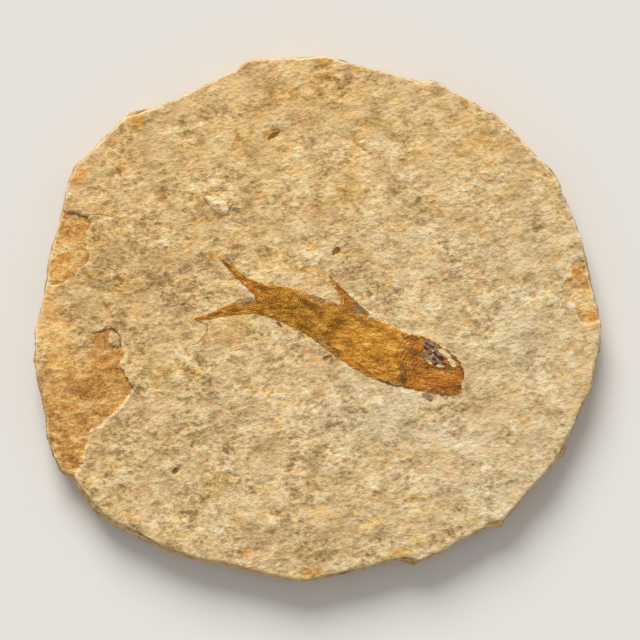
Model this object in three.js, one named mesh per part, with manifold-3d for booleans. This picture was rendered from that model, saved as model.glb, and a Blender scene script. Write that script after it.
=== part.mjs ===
// Fossil fish slab: a thin, roughly round plate of split limestone, knapped to shape round its rim,
// with a small fork-tailed fish pressed into its face. It lies on its back with the fish up.
// Millimetres, +Z up. X runs across the slab, +Y points to the top of its face, and the origin is
// under its middle, on the surface that it rests on.
import * as THREE from 'three';
import { mergeVertices } from 'three/addons/utils/BufferGeometryUtils.js';
import Module from 'manifold-3d';

// Driving dimensions.
const FACE_Z = 9; // the split face, above the resting underside
const FILM = 0.22; // how far the fish's fins and outline stand above the face
const BODY = 0.5; // how far its body does, where bone and scale lie thickest
const BODY_SLOPE = 1.1; // width of the slope from the body's edge up to its top
const EYE = { x: 30.5, y: -10.4, radius: 0.9, depth: 0.18 };

// The rim is a chain of short blows: straight scars that meet at corners, anticlockwise from the right.
const RIM = [
  [70, -2.1], [66.6, 13], [65.4, 19.3], [59.8, 33], [58.3, 35.9], [51.2, 43.2], [44.9, 50],
  [32.2, 56.6], [30.3, 58.1], [28.1, 59], [24.9, 58.7], [19, 60.3], [1.7, 64.9], [-17.4, 63.9],
  [-20.3, 61.2], [-41.3, 51.5], [-43.2, 51.8], [-46.6, 50.8], [-60, 37.4], [-61.8, 33.5],
  [-63.2, 26.4], [-66.4, 15.4], [-67.6, 5.7], [-69.6, -3.2], [-70, -10.7], [-67.1, -24.9],
  [-66.6, -29.7], [-65.2, -34.1], [-63, -38.5], [-60.3, -40], [-58.8, -42.4], [-55.4, -47.3],
  [-52.2, -50.2], [-39.3, -56.8], [-29.6, -60], [-22.7, -61], [-6.2, -64.9], [-1.9, -64.9],
  [7.8, -62.7], [19.5, -59.7], [23.4, -61], [29.3, -58.3], [40.5, -52.2], [45.1, -51.5],
  [46.8, -48.8], [58.6, -35.6], [60.5, -34.1], [62, -29.2], [65.6, -21], [67.1, -18.5],
  [68.3, -13.7], [69.9, -5.9],
];
const SCAR_STEP = 5; // longest stretch of rim between two points

// Levels of the broken side, bottom to top: how far each lies inside the rim, and how unevenly.
const SIDE = [
  { z: 0, inset: 1.5, uneven: 0.7 },
  { z: 1.3, inset: 0.55, uneven: 0.4 },
  { z: 4.4, inset: 0, uneven: 0 },
  { z: 6.9, inset: 0.15, uneven: 0.15 },
  { z: 8.6, inset: 0.3, uneven: 0.15 },
  { z: FACE_Z, inset: 0.6, uneven: 0.2 },
];
// The lower left of the side slopes out below the face, so its layers show from above.
const FLARE = { towards: THREE.MathUtils.degToRad(228), spread: 0.32, width: 1.1 };

// Patches where the top bed has flaked off. Each floor is a plane: its depth at one point, and how
// that depth grows along X and Y. An outline runs clockwise, and out past the rim where the flake
// does; an island in it runs the other way round.
const FLAKES = [
  { // upper left
    outline: [
      [-64.5, 27], [-60.9, 25.8], [-58.7, 25.4], [-57.1, 24.9], [-55.8, 23.9], [-55.9, 22.5],
      [-57.1, 20.4], [-56.5, 19.3], [-56.8, 16.8], [-56.2, 15], [-56.6, 13.8], [-57.9, 12.5],
      [-60.1, 9.9], [-62.2, 8.4], [-64.7, 7.6], [-72, 8.6], [-72, 27.8],
    ],
    at: [-60, 25.5], depth: 0.95, growX: 0, growY: 0.035,
  },
  { // lower left, the largest, which fades out towards its upper left
    outline: [
      [-55.3, -3.9], [-53.4, -3.7], [-50.9, -2.4], [-49.4, -3.5], [-48.2, -4.9], [-48, -7],
      [-47.6, -9], [-47.9, -10.6], [-48.5, -11.7], [-47.5, -13.2], [-47, -14.6], [-46, -16],
      [-45, -17.5], [-45.9, -19.4], [-47.3, -21.2], [-48.6, -22.8], [-50.6, -24.6],
      [-53.6, -26.9], [-56.1, -28.4], [-56, -30.3], [-56.8, -32.6], [-57.5, -35.4],
      [-59.2, -38.9], [-64, -46], [-75, -40], [-75, -1],
    ],
    // A block of the top bed that is still held.
    island: [[-51.2, -6.9], [-48.8, -7.5], [-48.6, -5.3], [-49.4, -4.2], [-51.2, -3.9]],
    at: [-50, -14], depth: 0.8, growX: 0.036, growY: -0.02,
  },
  { // right edge
    outline: [
      [63.7, 14], [62.2, 12.9], [62.3, 11.2], [63.3, 9.6], [61.2, 9.2], [60, 7.4], [59.8, 4.9],
      [61, 3.6], [63.3, 3.2], [63.6, 1], [64.4, -1.3], [66.2, -2.3], [68.3, -0.9], [75, 1],
      [75, 12], [66, 14.2],
    ],
    at: [62, 6], depth: 0.26, growX: 0.02, growY: 0,
  },
  { // nicks along the rim
    outline: [[58.3, -36.5], [57.9, -34.9], [60, -31.6], [60.6, -29.4], [66, -27], [66, -36]],
    at: [60, -32], depth: 1.6, growX: 0.05, growY: 0,
  },
  {
    outline: [[40.2, -52.6], [41.4, -50.3], [43.6, -49.6], [45.8, -50.4], [48, -54], [42, -56]],
    at: [44, -51], depth: 1.5, growX: 0, growY: -0.05,
  },
  {
    outline: [[18.6, -60.4], [20.4, -58.9], [23.1, -58.6], [24.6, -59.8], [24, -64], [18, -64]],
    at: [21, -60], depth: 1.3, growX: 0, growY: -0.05,
  },
  {
    outline: [[-41.6, 51.2], [-43.6, 50.3], [-46, 49.4], [-47.4, 49.6], [-47, 54], [-42, 54]],
    at: [-45, 51], depth: 1.2, growX: 0, growY: 0.05,
  },
  {
    outline: [[-59.9, 38.4], [-59.4, 36.6], [-60.5, 34.4], [-61.6, 33.2], [-65, 33], [-63, 39]],
    at: [-61, 36], depth: 1.1, growX: -0.05, growY: 0,
  },
];

// The fish, nose at the lower right. Its back and belly are curves through a few points, from the
// nose to the root of the tail; the lobes of the tail and the fin are narrow blades with straight edges.
const NOSE = [36, -14.1];
const BACK = [
  [35.4, -12], [33.4, -9.5], [29.5, -6.8], [26.6, -5.2], [24.4, -4.5], [22.4, -4.4],
  [20.2, -3.4], [17.4, -1.7], [13, -0.3], [8.6, 1.2], [4.3, 3.4], [-2, 5.5], [-8.3, 7.3],
  [-12.7, 7.7],
];
const TAIL = [
  [-17.4, 9.6], [-20.3, 12], [-24.4, 14.6], [-21.3, 10.8], [-18.5, 8.1], [-15.7, 5.4],
  [-15.2, 4.2], [-19.9, 3.7], [-24.4, 1.8], [-26.9, 0.5], [-30.2, -0.3], [-29.9, -0.9],
  [-26.7, -0.7], [-23.4, 0], [-15.7, 0.8],
];
const BELLY = [
  [-11.9, -0.2], [-6.7, -2.3], [-2.6, -4.6], [2.7, -8.5], [8.2, -12.4], [12.6, -14.9],
  [18.2, -17], [25, -18.3], [30.7, -19.4], [34.6, -19.4],
];
const JAW = [[35.5, -18.8], [34.7, -17.8], [35.3, -17.2], [35, -16.1], [35.8, -15.5]];
const FIN = [
  [13.1, 0.3], [8.1, 4.9], [4.6, 8.4], [2.2, 10.9], [3.3, 8.4], [4.6, 6.4], [5.6, 4.6],
  [5.9, 2.2], [9.8, -0.6],
];

const CURVE_STEPS = 2; // straight pieces between two points of a curve
const OVERRUN = 0.8; // how deep a raised shape is rooted in the slab, and a cutter reaches above it

const vectors = (points) => points.map(([x, y]) => new THREE.Vector2(x, y));

// A repeatable run of random numbers from -1 to 1.
let seed = 7;
function chance() {
  seed = (seed * 16807) % 2147483647;
  return (2 * seed) / 2147483647 - 1;
}

const wasm = await Module();
wasm.setup();

function solidOf(geometry) {
  const bare = geometry.clone();
  bare.deleteAttribute('normal');
  bare.deleteAttribute('uv');
  const merged = mergeVertices(bare, 1e-4);
  const mesh = new wasm.Mesh({
    numProp: 3,
    vertProperties: merged.attributes.position.array,
    triVerts: new Uint32Array(merged.index.array),
  });
  return new wasm.Manifold(mesh);
}

function geometryOf(solid) {
  const { vertProperties, triVerts } = solid.getMesh();
  const geometry = new THREE.BufferGeometry();
  geometry.setAttribute('position', new THREE.BufferAttribute(vertProperties, 3));
  geometry.setIndex(new THREE.BufferAttribute(triVerts, 1));
  const faceted = geometry.toNonIndexed();
  faceted.computeVertexNormals();
  return faceted;
}

// The rim with points added along its longer scars.
function rimPoints() {
  const corners = vectors(RIM);
  return corners.flatMap((corner, i) => {
    const next = corners[(i + 1) % corners.length];
    const parts = Math.ceil(corner.distanceTo(next) / SCAR_STEP);
    return Array.from({ length: parts }, (_, k) => corner.clone().lerp(next, k / parts));
  });
}

// How much further in than elsewhere the face ends at this place on the rim.
function flareAt(point) {
  let turn = Math.abs(Math.atan2(point.y, point.x) - FLARE.towards);
  turn = Math.min(turn, 2 * Math.PI - turn);
  return FLARE.width * Math.exp(-((turn / FLARE.spread) ** 2));
}

// The plain plate: one ring of points for each level of the side, closed by flat faces.
function plateGeometry() {
  const rim = rimPoints();
  const count = rim.length;
  const outward = rim.map((_, i) => {
    const along = rim[(i + 1) % count].clone().sub(rim[(i + count - 1) % count]).normalize();
    return new THREE.Vector2(along.y, -along.x);
  });
  const positions = [];
  const rings = SIDE.map(({ z, inset, uneven }) => rim.map((point, i) => {
    const flare = z > 6 ? flareAt(point) * ((z - 6) / (FACE_Z - 6)) : 0;
    const place = point.clone().addScaledVector(outward[i], -(inset + uneven * chance() + flare));
    positions.push(place.x, place.y, z);
    return place;
  }));
  const index = [];
  for (let level = 0; level < SIDE.length - 1; level += 1) {
    for (let i = 0; i < count; i += 1) {
      const a = level * count + i;
      const b = level * count + ((i + 1) % count);
      index.push(a, b, b + count, a, b + count, a + count);
    }
  }
  const top = (SIDE.length - 1) * count;
  for (const [a, b, c] of THREE.ShapeUtils.triangulateShape(rings[0], [])) index.push(a, c, b);
  for (const [a, b, c] of THREE.ShapeUtils.triangulateShape(rings.at(-1), [])) {
    index.push(top + a, top + b, top + c);
  }
  const geometry = new THREE.BufferGeometry();
  geometry.setAttribute('position', new THREE.Float32BufferAttribute(positions, 3));
  geometry.setIndex(index);
  return geometry;
}

// What a flake took away: a prism over its outline, sheared so that its floor slopes.
function flakeGeometry({ outline, island, at, depth, growX, growY }) {
  const shape = new THREE.Shape(vectors(outline));
  if (island) shape.holes.push(new THREE.Path(vectors(island)));
  const floorZ = FACE_Z - depth + growX * at[0] + growY * at[1];
  const height = depth + OVERRUN + 1;
  return new THREE.ExtrudeGeometry(shape, { depth: height, bevelEnabled: false }).applyMatrix4(
    new THREE.Matrix4().set(1, 0, 0, 0, 0, 1, 0, 0, -growX, -growY, 1, floorZ, 0, 0, 0, 1),
  );
}

// The whole fish as a thin even film: body, tail and the blade of the fin on its back.
function filmGeometries() {
  const fish = new THREE.Shape();
  fish.moveTo(...NOSE);
  fish.splineThru(vectors(BACK));
  for (const point of TAIL) fish.lineTo(...point);
  fish.lineTo(...BELLY[0]);
  fish.splineThru(vectors(BELLY.slice(1)));
  for (const point of JAW) fish.lineTo(...point);
  const fin = new THREE.Shape(vectors(FIN));
  return [fish, fin].map((shape) => new THREE.ExtrudeGeometry(shape, {
    depth: OVERRUN + FILM,
    bevelEnabled: false,
    curveSegments: CURVE_STEPS,
  }).translate(0, 0, FACE_Z - OVERRUN));
}

// The body swells above the film, with a slope all round.
function bodyGeometry() {
  const outline = new THREE.Shape();
  outline.moveTo(...NOSE);
  outline.splineThru(vectors(BACK));
  outline.lineTo(...BELLY[0]);
  outline.splineThru(vectors(BELLY.slice(1)));
  return new THREE.ExtrudeGeometry(outline, {
    depth: OVERRUN,
    bevelThickness: BODY,
    bevelSize: BODY_SLOPE,
    bevelOffset: -BODY_SLOPE,
    bevelSegments: 2,
    curveSegments: CURVE_STEPS,
  }).translate(0, 0, FACE_Z - OVERRUN);
}

function eyeGeometry() {
  const height = 2 * OVERRUN;
  return new THREE.CylinderGeometry(EYE.radius, EYE.radius, height, 16)
    .rotateX(Math.PI / 2)
    .translate(EYE.x, EYE.y, FACE_Z + BODY - EYE.depth + height / 2);
}

let stone = solidOf(plateGeometry());
for (const flake of FLAKES) stone = stone.subtract(solidOf(flakeGeometry(flake)));
for (const raised of [...filmGeometries(), bodyGeometry()]) stone = stone.add(solidOf(raised));
stone = stone.subtract(solidOf(eyeGeometry()));

const limestone = new THREE.MeshStandardMaterial({ color: 0xd2b582, roughness: 0.9, metalness: 0 });
const slab = new THREE.Mesh(geometryOf(stone), limestone);
slab.name = 'slab';

const fossilFishSlab = new THREE.Group();
fossilFishSlab.add(slab);

export default fossilFishSlab;
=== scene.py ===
import itertools
import math

import bpy
import numpy as np
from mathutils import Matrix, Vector
from mathutils.bvhtree import BVHTree


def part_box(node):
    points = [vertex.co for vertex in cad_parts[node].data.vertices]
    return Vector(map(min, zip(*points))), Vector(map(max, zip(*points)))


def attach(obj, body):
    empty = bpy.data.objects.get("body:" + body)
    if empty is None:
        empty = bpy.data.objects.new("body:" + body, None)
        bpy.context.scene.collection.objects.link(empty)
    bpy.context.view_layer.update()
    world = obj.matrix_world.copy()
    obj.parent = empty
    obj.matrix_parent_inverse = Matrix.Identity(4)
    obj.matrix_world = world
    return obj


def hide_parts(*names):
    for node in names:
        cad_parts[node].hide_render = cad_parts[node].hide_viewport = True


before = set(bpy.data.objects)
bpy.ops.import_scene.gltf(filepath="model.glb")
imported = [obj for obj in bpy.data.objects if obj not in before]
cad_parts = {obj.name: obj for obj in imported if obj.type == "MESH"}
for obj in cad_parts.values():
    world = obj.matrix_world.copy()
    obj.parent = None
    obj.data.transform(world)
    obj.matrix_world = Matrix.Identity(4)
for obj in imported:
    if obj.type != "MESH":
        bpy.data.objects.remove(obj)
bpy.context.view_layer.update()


# ---- The stone ----
# One plate of fine-grained, iron-stained limestone. It was split along its bedding, which left the
# crumbly face and the rougher back, and then knapped round with a hammer, which left the straight
# scars of the rim and the layered side. Lengths here are in millimetres, from the slab's middle.
MM = 0.001
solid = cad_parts["slab"].data
low, high = (np.array(corner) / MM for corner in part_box("slab"))
width, depth, thickness = (high - low).tolist()

cad = BVHTree.FromPolygons(
    [vertex.co / MM for vertex in solid.vertices],
    [polygon.vertices[:] for polygon in solid.polygons],
)
DOWN = Vector((0, 0, -1))


def cad_top(x, y):
    """How high the CAD solid stands at each point."""
    places = zip(x.ravel().tolist(), y.ravel().tolist())
    found = [cad.ray_cast((a, b, 2 * thickness), DOWN)[0].z for a, b in places]
    return np.array(found).reshape(x.shape)


# A plain stretch of the face, well above the fish.
face = float(cad_top(np.array([0.0]), np.array([depth * 0.3]))[0])

BEARINGS = 960
bearings = np.arange(BEARINGS) * 2 * np.pi / BEARINGS


def cad_rim(level):
    """How far out the CAD solid reaches at a height, on each bearing."""
    reach = []
    for bearing in bearings:
        way = Vector((math.cos(bearing), math.sin(bearing), 0))
        start = way * width + Vector((0, 0, level))
        reach.append(cad.ray_cast(start, -way)[0].xy.length)
    return np.array(reach)


def round_rim(reach, angle):
    """The value on a bearing of something known at even steps all round."""
    known_at = np.arange(len(reach)) * 2 * np.pi / len(reach)
    return np.interp(angle, known_at, reach, period=2 * np.pi)


def smoothed_rim(reach, steps):
    """A running mean round the rim."""
    window = np.ones(2 * steps + 1) / (2 * steps + 1)
    return np.convolve(np.concatenate([reach[-steps:], reach, reach[:steps]]), window, "valid")


# Heights of the side at which the solid is measured, as shares of the face's height.
SIDE_SHARES = (0.005, 0.145, 0.49, 0.765)
side_levels = [share * face for share in SIDE_SHARES]
side_reach = [cad_rim(level) for level in side_levels]
JUST_UNDER_FACE = 0.989
# Where the face ends further in than this, a nick in the rim or a flake has taken it. Its old edge
# is then put a little inside the side's.
DEEPEST_FLARE = 2.4
FACE_INSET = 0.5
top_reach = cad_rim(face * JUST_UNDER_FACE)
broken = side_reach[-1] - top_reach > DEEPEST_FLARE
face_reach = smoothed_rim(np.where(broken, side_reach[-1] - FACE_INSET, top_reach), 1)


def waves(cell, seed, *places):
    """Smooth seeded noise on a lattice of that cell size, mostly from -1 to 1."""
    slopes = np.random.default_rng(seed).normal(size=(4096, len(places)))
    slopes /= np.linalg.norm(slopes, axis=1)[:, None]
    corner = [np.floor(place / cell).astype(np.int64) for place in places]
    part = [place / cell - whole for place, whole in zip(places, corner)]
    ease = [p * p * p * (p * (p * 6 - 15) + 10) for p in part]
    total = 0
    for step in itertools.product((0, 1), repeat=len(places)):
        key = 0
        for whole, one, prime in zip(corner, step, (73856093, 19349663, 83492791)):
            key = key ^ ((whole + one) * prime)
        key = (key ^ (key >> 13)) & 4095
        share, rise = 1, 0
        for axis, one in enumerate(step):
            share = share * (ease[axis] if one else 1 - ease[axis])
            rise = rise + slopes[key, axis] * (part[axis] - one)
        total = total + share * rise
    return 2 * total


def turned(x, y, turn):
    """Places measured along a direction, in degrees from X, and square to it."""
    c, s = math.cos(math.radians(turn)), math.sin(math.radians(turn))
    return x * c + y * s, y * c - x * s


def grain(cell, seed, x, y, turn=25, stretch=1.6):
    """Noise drawn out along a direction."""
    forward, beside = turned(x, y, turn)
    return waves(cell, seed, forward / stretch, beside)


def ramp(value, start, end):
    """From 0 at start to 1 at end, easing in and out."""
    share = np.clip((value - start) / (end - start), 0, 1)
    return share * share * (3 - 2 * share)


# A map of the face: one value in each cell, over the whole slab and a little more.
CELL = 0.2
MARGIN = 3
across = np.arange(low[0] - MARGIN, high[0] + MARGIN, CELL)
along = np.arange(low[1] - MARGIN, high[1] + MARGIN, CELL)
map_x, map_y = np.meshgrid(across, along)


def map_waves(cell, seed):
    return waves(cell, seed, map_x, map_y)


def map_grain(cell, seed, turn=25, stretch=1.6):
    return grain(cell, seed, map_x, map_y, turn, stretch)


def blur(field, radius):
    """A Gaussian blur of a map."""
    down = np.fft.fftfreq(field.shape[0], CELL)[:, None]
    right = np.fft.rfftfreq(field.shape[1], CELL)[None]
    pass_band = np.exp(-2 * (np.pi * radius) ** 2 * (down**2 + right**2))
    return np.fft.irfft2(np.fft.rfft2(field) * pass_band, field.shape)


def read(field, x, y):
    """A map's value at points between its cells."""
    u = np.clip((x - across[0]) / CELL, 0, len(across) - 1.001)
    v = np.clip((y - along[0]) / CELL, 0, len(along) - 1.001)
    i, j = u.astype(int), v.astype(int)
    u, v = u - i, v - j
    lower = field[j, i] * (1 - u) + field[j, i + 1] * u
    upper = field[j + 1, i] * (1 - u) + field[j + 1, i + 1] * u
    return lower * (1 - v) + upper * v


def inside_by(mask, radius):
    """How far inside a mask's outline each cell lies, negative outside it."""
    soft = np.clip(blur(mask.astype(float), radius), 1e-3, 1 - 1e-3)
    return radius * np.log(soft / (1 - soft)) / 1.702


# The solid's outlines, made ragged: roughly at the flakes, finely at the fish.
INSIDE_EDGE = 0.4
RAGGED_AT_FISH, RAGGED_AT_FLAKES = 0.06, 0.31
from_middle = np.hypot(map_x, map_y)
ragged = RAGGED_AT_FISH + ramp(from_middle, 38, 45) * (RAGGED_AT_FLAKES - RAGGED_AT_FISH)
# A block of the top bed that is still held in the largest flake broke square.
BLOCK, BLOCK_SIZE = (-50, -5.6), 2.4
block = np.exp(-((map_x - BLOCK[0]) ** 2 + (map_y - BLOCK[1]) ** 2) / BLOCK_SIZE**2)
ragged *= 1 - 0.9 * block
ragged_x = map_x + ragged * (map_grain(2.0, 11) + 0.55 * map_waves(0.8, 12))
ragged_y = map_y + ragged * (map_grain(2.0, 13) + 0.55 * map_waves(0.8, 14))
ragged_r, ragged_angle = np.hypot(ragged_x, ragged_y), np.arctan2(ragged_y, ragged_x)
limit = round_rim(face_reach, ragged_angle % (2 * np.pi)) - INSIDE_EDGE
draw_in = np.minimum(1, limit / np.maximum(ragged_r, 1e-6))
cad_height = cad_top(ragged_x * draw_in, ragged_y * draw_in)

flaked = cad_height < face - 0.1
in_flake = inside_by(flaked, 0.24)
FLOOR_BLUR = 1.2
flake_share = blur(flaked.astype(float), FLOOR_BLUR)
flake_depth = blur(np.where(flaked, face - cad_height, 0), FLOOR_BLUR)
flake_depth = flake_depth / np.maximum(flake_share, 0.02)
# The largest flake feathers out at its upper left, where it has no edge.
feather = ramp(map_x, -53.5, -57.5) * ramp(map_y, -22, -14) * ramp(map_y, 5, 0)
feather_edge = -6.5 - 0.25 * (map_x + 57) + 1.2 * map_waves(3, 15)
flake_depth *= 1 - feather * ramp(map_y, feather_edge - 5, feather_edge + 1)

on_fish = cad_height > face + 0.05
in_fish = inside_by(on_fish, 0.22)
near_fish = blur(on_fish.astype(float), 1.1)
fish_lift = blur(np.where(on_fish, cad_height - face, 0), 0.3)

# Small things in the face, by kind. Each is an ellipse: place, half length, half width, turn, height.
MARKS = {
    "rust": [
        (-11.3, 45, 2.1, 1.3, 35, -0.25),  # a seed-like pit
        (5, 16.5, 0.4, 0.3, 35, 0.25), (-1.7, 17.6, 1.1, 0.8, 10, 0.05),
        (-2.2, 11.8, 1.8, 0.9, 10, -0.05), (-1.2, -10.6, 1, 0.8, 0, 0.04),
        (-3.9, -9.3, 0.8, 0.5, 0, 0.03), (-1.6, -8.4, 1.5, 0.3, 25, 0.03),
        (4.4, -11.4, 1.6, 0.35, -35, 0),
        (0.6, 10.6, 2.6, 0.8, 140, 0),  # where the fin fades out
        (-31, -0.6, 1.8, 0.5, 12, 0),  # and the tail
        (-25.6, 15, 1.8, 0.6, 150, 0), (63, 10.9, 1.2, 0.9, 0, -0.1), (68, 0, 1.4, 1, 0, -0.1),
        (1.7, 63, 2.4, 1, 0, 0), (-44.4, 48, 2.2, 2.4, 50, 0), (-59, 34.6, 2.2, 1.8, 60, 0),
        (-18, -57.6, 1.9, 1.3, 0, -0.1), (-1, -62.6, 2.6, 1.1, 0, -0.1), (21, -58, 2.8, 1.3, 0, 0),
    ],
    "dark": [
        (-10.9, 44.7, 1.9, 0.75, 38, -0.15),
        (4.7, 16.2, 1.1, 0.8, 35, -0.35),  # a small ring-shaped pit
        (4, 15.5, 0.5, 0.35, 60, -0.2), (-2.9, 18.9, 0.5, 0.3, 20, -0.1),
        (-3.1, 17.7, 0.35, 0.25, 0, -0.1), (-0.2, 19, 0.4, 0.25, 40, -0.1),
        (-34.8, -37.9, 1.1, 0.8, 40, -0.3), (30.2, -0.9, 1, 0.22, -5, -0.2),
        (-9.4, -1.8, 1.2, 0.55, -35, -0.15), (2.4, -9.9, 1.4, 0.4, 12, -0.05),
        (27.4, -20.5, 0.8, 0.28, -25, -0.1),
    ],
    "pale": [
        (-24.9, 28.6, 2.9, 1, -14, 0.3),  # a raised chip
        (-23, 27, 1.7, 0.9, -64, 0.26), (-21, 22.9, 1.9, 0.35, 24, 0),
        (9.5, 4.5, 5, 0.24, -47.7, 0.04),  # stone heaped along the fin
        (-53, -2.9, 2.4, 0.24, 16, 0.06),  # the lifted lip of the largest flake
    ],
    "lilac": [
        (-20, 26.2, 1.2, 0.7, -20, -0.1), (-25, 19, 0.9, 0.5, 20, 0),
        (-17.6, 3.9, 2.5, 0.85, 8, -0.08),  # between the lobes of the tail
        (26.9, -19.7, 1.6, 0.9, -30, 0.05),  # at the throat
        (26.7, -19.4, 1.3, 0.5, -30, 0),
    ],
}


def spots(listed, x, y, fray):
    """How far each kind of spot covers each place, and how far the spots raise it."""
    covers, raised = {}, np.zeros_like(x)
    for kind, ellipses in listed.items():
        covers[kind] = np.zeros_like(x)
        for at_x, at_y, long, short, turn, rise in ellipses:
            forward, beside = turned(x - at_x, y - at_y, turn)
            cover = 1 - ramp(np.hypot(forward / long, beside / short) + fray, 0.75, 1.15)
            covers[kind] = np.maximum(covers[kind], cover)
            raised += rise * cover
    return covers, raised


# Broad soft patches: place, half length, half width, turn, how much lighter, how much more golden.
WASHES = [
    (-3, 54, 18, 6, 8, -0.06, 0.7), (-50, 40, 5, 4, 40, -0.2, 0.6), (7, 34, 7, 4, 20, 0, 0.5),
    (42, 49, 9, 5, -35, 0, 0.4), (56, 35, 7, 5, -60, 0.05, 0.5), (-39, 46, 8, 5, 40, 0.05, -0.5),
    (-52, 11, 10, 7, 10, -0.22, 0.1), (-17, 15, 10, 3.5, -8, -0.1, 0.15),
    (22, 18, 8, 4, 15, 0.16, -0.6), (38, 18, 6, 3.5, 10, -0.22, -0.3), (48, -8, 10, 9, 0, 0.04, -0.4),
    (-30, -26, 12, 8, 20, 0, -0.5), (37, -32, 6, 5, 0, 0.2, -0.2), (-23, -42, 4, 3, 20, -0.22, 0.4),
    (1, -48, 5, 3.5, 0, 0, 0.4), (42, -44, 12, 8, 0, 0.04, -0.5), (55, -32, 12, 8, 55, 0.04, -0.4),
    (19, -23, 14, 7, -15, 0.06, -0.6), (-66, -2, 4, 7, 0, 0.08, 1.6), (-62, 20, 3, 9, 0, 0, 0.8),
    (-61, 12.5, 4.5, 4.5, 0, 0.34, 0), (-21, -4, 5, 4, 0, 0.02, 1), (-38, 27, 12, 9, 10, -0.06, -0.1),
    (10, -28, 20, 10, 10, 0.04, -0.4), (50, 5, 16, 20, 0, 0, -0.4), (-63, -9, 4, 4, 0, 0.3, 0.5),
    (-51, -15, 5, 4, 20, -0.24, 0.2), (-48, -22, 4, 4, 0, 0.2, -0.4), (-62, -30, 4, 7, 20, -0.1, 0.6),
    (-58, -18, 6, 3, 20, -0.05, -0.6), (64, 5, 4, 2.5, 10, 0.4, -0.6), (66, -1, 2.5, 2, 0, 0.1, 1),
    (64, 11, 2.5, 2.5, 0, 0.05, 1), (-36, 11, 11, 8, 0, -0.2, 0), (-57, 0, 9, 5, 0, -0.22, 0.1),
    (21, -30, 8, 6, 0, -0.24, 0), (1, -58, 14, 5, 0, -0.28, 0), (-48, 41, 7, 7, 0, -0.08, 0),
    (8, -16, 8, 4, -20, 0.08, -0.2), (-47, -29, 7, 6, 20, -0.18, 0), (-27, -15, 12, 6, 0, -0.14, 0.1),
    (-47, 0, 7, 6, 0, -0.12, 0.1), (-10, 0, 14, 7, -15, 0.1, 0), (38, 42, 16, 8, -35, -0.05, 0.5),
    (-24, -16, 10, 6, 0, 0, -0.35), (-20, -54, 14, 6, 0, -0.13, -0.3),
    (-36, -42, 9, 6, 20, 0.04, -0.35), (-18, -5, 8, 5, 0, 0.04, -0.25), (36, -20, 6, 4, 0, -0.14, 0),
]
wash_light, wash_warm = np.zeros_like(map_x), np.zeros_like(map_x)
for at_x, at_y, long, short, turn, lighter, warmer in WASHES:
    forward, beside = turned(map_x - at_x, map_y - at_y, turn)
    share = np.exp(-((forward / long) ** 2) - (beside / short) ** 2)
    wash_light += lighter * share
    wash_warm += warmer * share

unevenness = 0.22 * map_waves(0.7, 21) + 0.16 * map_waves(1.6, 22)
marks, mark_relief = spots(MARKS, map_x, map_y, unevenness)

# Hair cracks in the top bed, each a broken line that dies out at both ends; the material paints shade
# along them.
CRACKS = [
    [(-57.2, 25), (-53.4, 25.3), (-50, 24.5)],
    [(-56.6, 12.2), (-53.5, 12.1), (-51, 11)],
    [(-52.2, -2.7), (-50.9, -2.4), (-48.3, -5)],
    [(-36.5, 2.2), (-34, 3.1), (-31.7, 3), (-29.4, 1.4)],
    [(-30.2, -0.7), (-27.1, -2), (-27.1, -3.9), (-29.4, -6.6), (-31.7, -7.2)],
    [(64, 14.1), (66.2, 13.2), (68, 12.4)],
    [(-20.5, -8.6), (-17.2, -7.4)],
    [(-48.7, -5), (-48.3, -8)],  # beside the loose block
    # Beside the raised chip: the painted shadow along its lower edge.
    [(-28.2, 29.4), (-26.9, 27.5), (-24.3, 25.3), (-22.8, 24.7), (-21.7, 26.2), (-20.2, 29)],
]


def by_line(points, x, y):
    """How far places lie left of a broken line, negative to its right, and how far along it."""
    points = np.array(points, float)
    gap, distance, run = np.full_like(x, 1e3), np.zeros_like(x), 0
    for start, end in zip(points[:-1], points[1:]):
        length = math.dist(start, end)
        way = (end - start) / length
        forward = (x - start[0]) * way[0] + (y - start[1]) * way[1]
        beside = (y - start[1]) * way[0] - (x - start[0]) * way[1]
        past = np.maximum(0, np.maximum(-forward, forward - length))
        reach = np.hypot(beside, past)
        nearer = reach < np.abs(gap)
        gap = np.where(nearer, np.where(beside < 0, -reach, reach), gap)
        distance = np.where(nearer, run + np.clip(forward, 0, length), distance)
        run += length
    return gap, distance


FAR = 3.0
crack_gap = np.full_like(map_x, FAR)
crack_strength = np.zeros_like(map_x)
crooked = 0.1 * map_waves(1.1, 31)
for line in CRACKS:
    gap, distance = by_line(line, map_x, map_y + crooked)
    nearer = np.abs(gap) < np.abs(crack_gap)
    share = distance / distance.max()
    crack_gap = np.where(nearer, gap, crack_gap)
    crack_strength = np.where(nearer, 1 - (2 * share - 1) ** 4, crack_strength)

# The crumbly split surface: broad swells, lumps drawn out along the bed's grain, and crumbs.
swell = 0.12 * map_waves(24, 41)
lumps = (
    0.125 * map_grain(3.2, 42, 25, 1.5)
    + 0.090 * map_grain(1.7, 43, 22, 1.7)
    + 0.055 * map_grain(0.95, 44, 28, 1.5)
)
# Thin laminae end in low, wandering steps.
layers = 3.2 * map_waves(14, 36) + 1.5 * map_grain(4.5, 37, 20, 1.6) + 0.5 * map_waves(1.2, 38)
steps = np.floor(layers) + ramp(layers - np.floor(layers), 0.38, 0.62)
lumps += 0.075 * steps * ramp(map_waves(6, 35), -0.5, 0.3) - 0.05 * layers
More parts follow.
